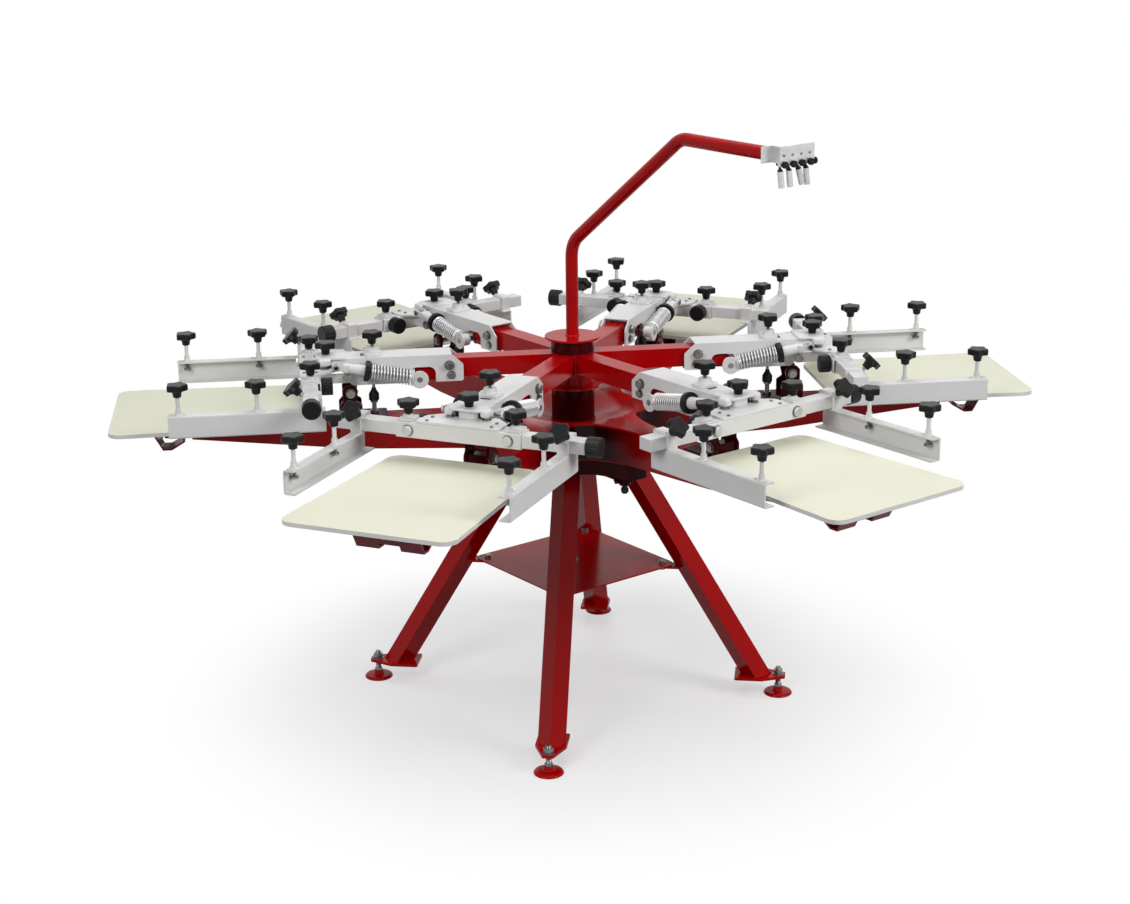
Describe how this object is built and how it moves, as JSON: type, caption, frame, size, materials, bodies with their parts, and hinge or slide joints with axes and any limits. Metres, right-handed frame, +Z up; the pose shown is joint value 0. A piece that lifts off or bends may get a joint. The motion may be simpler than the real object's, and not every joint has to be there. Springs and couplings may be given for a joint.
{
  "type": "carousel screen printing press",
  "caption": "Floor-standing carousel press for printing through screens, with a lower star of flat platens, tilting print heads with springs and clamps, splayed legs, a shelf and a lamp boom.",
  "frame": {"origin": "on the floor, on the axis of the spindle", "axes": "+Z up along the spindle; +X out along the first station; stations follow anticlockwise seen from above, 60 degrees apart"},
  "size_m": [2.482, 2.342, 1.6343],
  "materials": {
    "red_coat": "glossy red powder coat",
    "maroon_coat": "glossy dark red powder coat",
    "white_coat": "satin white powder coat",
    "ivory_board": "ivory faced board on a grey alloy back",
    "black_plastic": "matte black",
    "zinc_steel": "zinc plated",
    "spring_steel": "bright coiled wire",
    "grey_alloy": "satin bare alloy"
  },
  "bodies": {
    "stand": {"pedestal": "red_coat", "bearings": "zinc_steel", "legs": "red_coat", "shelf": "red_coat", "stand_fasteners": "zinc_steel", "boom": "red_coat", "lamp_bracket": "grey_alloy", "lamp_knobs": "black_plastic"},
    "foot_1": {"foot_1": "red_coat"},
    "foot_2": {"foot_2": "red_coat"},
    "foot_3": {"foot_3": "red_coat"},
    "foot_4": {"foot_4": "red_coat"},
    "lamp_1": {"lamp_1": "grey_alloy"},
    "lamp_2": {"lamp_2": "grey_alloy"},
    "lamp_3": {"lamp_3": "grey_alloy"},
    "lamp_4": {"lamp_4": "grey_alloy"},
    "index_pin": {"index_pin": "black_plastic"},
    "lower_carousel": {"star": "red_coat", "gates": "maroon_coat", "gate_bolts": "zinc_steel", "stop_posts": "black_plastic"},
    "upper_carousel": {"head_arms": "red_coat", "pivot_bolts": "zinc_steel"},
    "platen_1": {"platen_1": "ivory_board"},
    "platen_2": {"platen_2": "ivory_board"},
    "platen_3": {"platen_3": "ivory_board"},
    "platen_4": {"platen_4": "ivory_board"},
    "platen_5": {"platen_5": "ivory_board"},
    "platen_6": {"platen_6": "ivory_board"},
    "head_1": {"head_1": "white_coat", "springs_1": "spring_steel"},
    "cross_bar_1": {"cross_bar_1": "white_coat"},
    "left_clamp_1": {"left_clamp_1": "white_coat"},
    "right_clamp_1": {"right_clamp_1": "white_coat"},
    "head_2": {"head_2": "white_coat", "springs_2": "spring_steel"},
    "cross_bar_2": {"cross_bar_2": "white_coat"},
    "left_clamp_2": {"left_clamp_2": "white_coat"},
    "right_clamp_2": {"right_clamp_2": "white_coat"},
    "head_3": {"head_3": "white_coat", "springs_3": "spring_steel"},
    "cross_bar_3": {"cross_bar_3": "white_coat"},
    "left_clamp_3": {"left_clamp_3": "white_coat"},
    "right_clamp_3": {"right_clamp_3": "white_coat"},
    "head_4": {"head_4": "white_coat", "springs_4": "spring_steel"},
    "cross_bar_4": {"cross_bar_4": "white_coat"},
    "left_clamp_4": {"left_clamp_4": "white_coat"},
    "right_clamp_4": {"right_clamp_4": "white_coat"},
    "head_5": {"head_5": "white_coat", "springs_5": "spring_steel"},
    "cross_bar_5": {"cross_bar_5": "white_coat"},
    "left_clamp_5": {"left_clamp_5": "white_coat"},
    "right_clamp_5": {"right_clamp_5": "white_coat"},
    "head_6": {"head_6": "white_coat", "springs_6": "spring_steel"},
    "cross_bar_6": {"cross_bar_6": "white_coat"},
    "left_clamp_6": {"left_clamp_6": "white_coat"},
    "right_clamp_6": {"right_clamp_6": "white_coat"}
  },
  "joints": [
    {"name": "foot_1_height", "type": "slide", "parent": "stand", "child": "foot_1", "axis": [0, 0, 1], "range_m": [-0.02, 0.02]},
    {"name": "foot_2_height", "type": "slide", "parent": "stand", "child": "foot_2", "axis": [0, 0, 1], "range_m": [-0.02, 0.02]},
    {"name": "foot_3_height", "type": "slide", "parent": "stand", "child": "foot_3", "axis": [0, 0, 1], "range_m": [-0.02, 0.02]},
    {"name": "foot_4_height", "type": "slide", "parent": "stand", "child": "foot_4", "axis": [0, 0, 1], "range_m": [-0.02, 0.02]},
    {"name": "lamp_1_tilt", "type": "hinge", "parent": "stand", "child": "lamp_1", "pos_m": [0.41442, -0.6614, 1.59], "axis": [0.5, -0.866, 0], "range_deg": [-25, 10]},
    {"name": "lamp_2_tilt", "type": "hinge", "parent": "stand", "child": "lamp_2", "pos_m": [0.43867, -0.6474, 1.59], "axis": [0.5, -0.866, 0], "range_deg": [-10, 18]},
    {"name": "lamp_3_tilt", "type": "hinge", "parent": "stand", "child": "lamp_3", "pos_m": [0.46292, -0.6334, 1.59], "axis": [0.5, -0.866, 0], "range_deg": [-20, 0]},
    {"name": "lamp_4_tilt", "type": "hinge", "parent": "stand", "child": "lamp_4", "pos_m": [0.48717, -0.6194, 1.59], "axis": [0.5, -0.866, 0], "range_deg": [0, 25]},
    {"name": "index_pin_travel", "type": "slide", "parent": "stand", "child": "index_pin", "axis": [0, 0, 1], "range_m": [0, 0.008]},
    {"name": "lower_carousel_turn", "type": "hinge", "parent": "stand", "child": "lower_carousel", "pos_m": [0, 0, 0.8], "axis": [0, 0, 1], "continuous": true},
    {"name": "upper_carousel_turn", "type": "hinge", "parent": "stand", "child": "upper_carousel", "pos_m": [0, 0, 0.96], "axis": [0, 0, 1], "continuous": true},
    {"name": "platen_1_slide", "type": "slide", "parent": "lower_carousel", "child": "platen_1", "axis": [1, 0, 0], "range_m": [-0.012, 0.06]},
    {"name": "platen_2_slide", "type": "slide", "parent": "lower_carousel", "child": "platen_2", "axis": [0.5, 0.866, 0], "range_m": [-0.012, 0.06]},
    {"name": "platen_3_slide", "type": "slide", "parent": "lower_carousel", "child": "platen_3", "axis": [-0.5, 0.866, 0], "range_m": [-0.012, 0.06]},
    {"name": "platen_4_slide", "type": "slide", "parent": "lower_carousel", "child": "platen_4", "axis": [-1, 0, 0], "range_m": [-0.012, 0.06]},
    {"name": "platen_5_slide", "type": "slide", "parent": "lower_carousel", "child": "platen_5", "axis": [-0.5, -0.866, 0], "range_m": [-0.012, 0.06]},
    {"name": "platen_6_slide", "type": "slide", "parent": "lower_carousel", "child": "platen_6", "axis": [0.5, -0.866, 0], "range_m": [-0.012, 0.06]},
    {"name": "head_1_tilt", "type": "hinge", "parent": "upper_carousel", "child": "head_1", "pos_m": [0.341, 0, 0.973], "axis": [0, -1, 0], "range_deg": [0, 25], "deforming": ["springs_1"]},
    {"name": "cross_bar_1_slide", "type": "slide", "parent": "head_1", "child": "cross_bar_1", "axis": [0, 1, 0], "range_m": [-0.03, 0.03]},
    {"name": "left_clamp_1_slide", "type": "slide", "parent": "cross_bar_1", "child": "left_clamp_1", "axis": [0, 1, 0], "range_m": [-0.06, 0.03]},
    {"name": "right_clamp_1_slide", "type": "slide", "parent": "cross_bar_1", "child": "right_clamp_1", "axis": [0, 1, 0], "range_m": [-0.03, 0.06]},
    {"name": "head_2_tilt", "type": "hinge", "parent": "upper_carousel", "child": "head_2", "pos_m": [0.1705, 0.29531, 0.973], "axis": [0.866, -0.5, 0], "range_deg": [0, 25], "deforming": ["springs_2"]},
    {"name": "cross_bar_2_slide", "type": "slide", "parent": "head_2", "child": "cross_bar_2", "axis": [-0.866, 0.5, 0], "range_m": [-0.03, 0.03]},
    {"name": "left_clamp_2_slide", "type": "slide", "parent": "cross_bar_2", "child": "left_clamp_2", "axis": [-0.866, 0.5, 0], "range_m": [-0.06, 0.03]},
    {"name": "right_clamp_2_slide", "type": "slide", "parent": "cross_bar_2", "child": "right_clamp_2", "axis": [-0.866, 0.5, 0], "range_m": [-0.03, 0.06]},
    {"name": "head_3_tilt", "type": "hinge", "parent": "upper_carousel", "child": "head_3", "pos_m": [-0.1705, 0.29531, 0.973], "axis": [0.866, 0.5, 0], "range_deg": [0, 25], "deforming": ["springs_3"]},
    {"name": "cross_bar_3_slide", "type": "slide", "parent": "head_3", "child": "cross_bar_3", "axis": [-0.866, -0.5, 0], "range_m": [-0.03, 0.03]},
    {"name": "left_clamp_3_slide", "type": "slide", "parent": "cross_bar_3", "child": "left_clamp_3", "axis": [-0.866, -0.5, 0], "range_m": [-0.06, 0.03]},
    {"name": "right_clamp_3_slide", "type": "slide", "parent": "cross_bar_3", "child": "right_clamp_3", "axis": [-0.866, -0.5, 0], "range_m": [-0.03, 0.06]},
    {"name": "head_4_tilt", "type": "hinge", "parent": "upper_carousel", "child": "head_4", "pos_m": [-0.341, 0, 0.973], "axis": [0, 1, 0], "range_deg": [0, 25], "deforming": ["springs_4"]},
    {"name": "cross_bar_4_slide", "type": "slide", "parent": "head_4", "child": "cross_bar_4", "axis": [0, -1, 0], "range_m": [-0.03, 0.03]},
    {"name": "left_clamp_4_slide", "type": "slide", "parent": "cross_bar_4", "child": "left_clamp_4", "axis": [0, -1, 0], "range_m": [-0.06, 0.03]},
    {"name": "right_clamp_4_slide", "type": "slide", "parent": "cross_bar_4", "child": "right_clamp_4", "axis": [0, -1, 0], "range_m": [-0.03, 0.06]},
    {"name": "head_5_tilt", "type": "hinge", "parent": "upper_carousel", "child": "head_5", "pos_m": [-0.1705, -0.29531, 0.973], "axis": [-0.866, 0.5, 0], "range_deg": [0, 25], "deforming": ["springs_5"]},
    {"name": "cross_bar_5_slide", "type": "slide", "parent": "head_5", "child": "cross_bar_5", "axis": [0.866, -0.5, 0], "range_m": [-0.03, 0.03]},
    {"name": "left_clamp_5_slide", "type": "slide", "parent": "cross_bar_5", "child": "left_clamp_5", "axis": [0.866, -0.5, 0], "range_m": [-0.06, 0.03]},
    {"name": "right_clamp_5_slide", "type": "slide", "parent": "cross_bar_5", "child": "right_clamp_5", "axis": [0.866, -0.5, 0], "range_m": [-0.03, 0.06]},
    {"name": "head_6_tilt", "type": "hinge", "parent": "upper_carousel", "child": "head_6", "pos_m": [0.1705, -0.29531, 0.973], "axis": [-0.866, -0.5, 0], "range_deg": [0, 25], "deforming": ["springs_6"]},
    {"name": "cross_bar_6_slide", "type": "slide", "parent": "head_6", "child": "cross_bar_6", "axis": [0.866, 0.5, 0], "range_m": [-0.03, 0.03]},
    {"name": "left_clamp_6_slide", "type": "slide", "parent": "cross_bar_6", "child": "left_clamp_6", "axis": [0.866, 0.5, 0], "range_m": [-0.06, 0.03]},
    {"name": "right_clamp_6_slide", "type": "slide", "parent": "cross_bar_6", "child": "right_clamp_6", "axis": [0.866, 0.5, 0], "range_m": [-0.03, 0.06]}
  ]
}
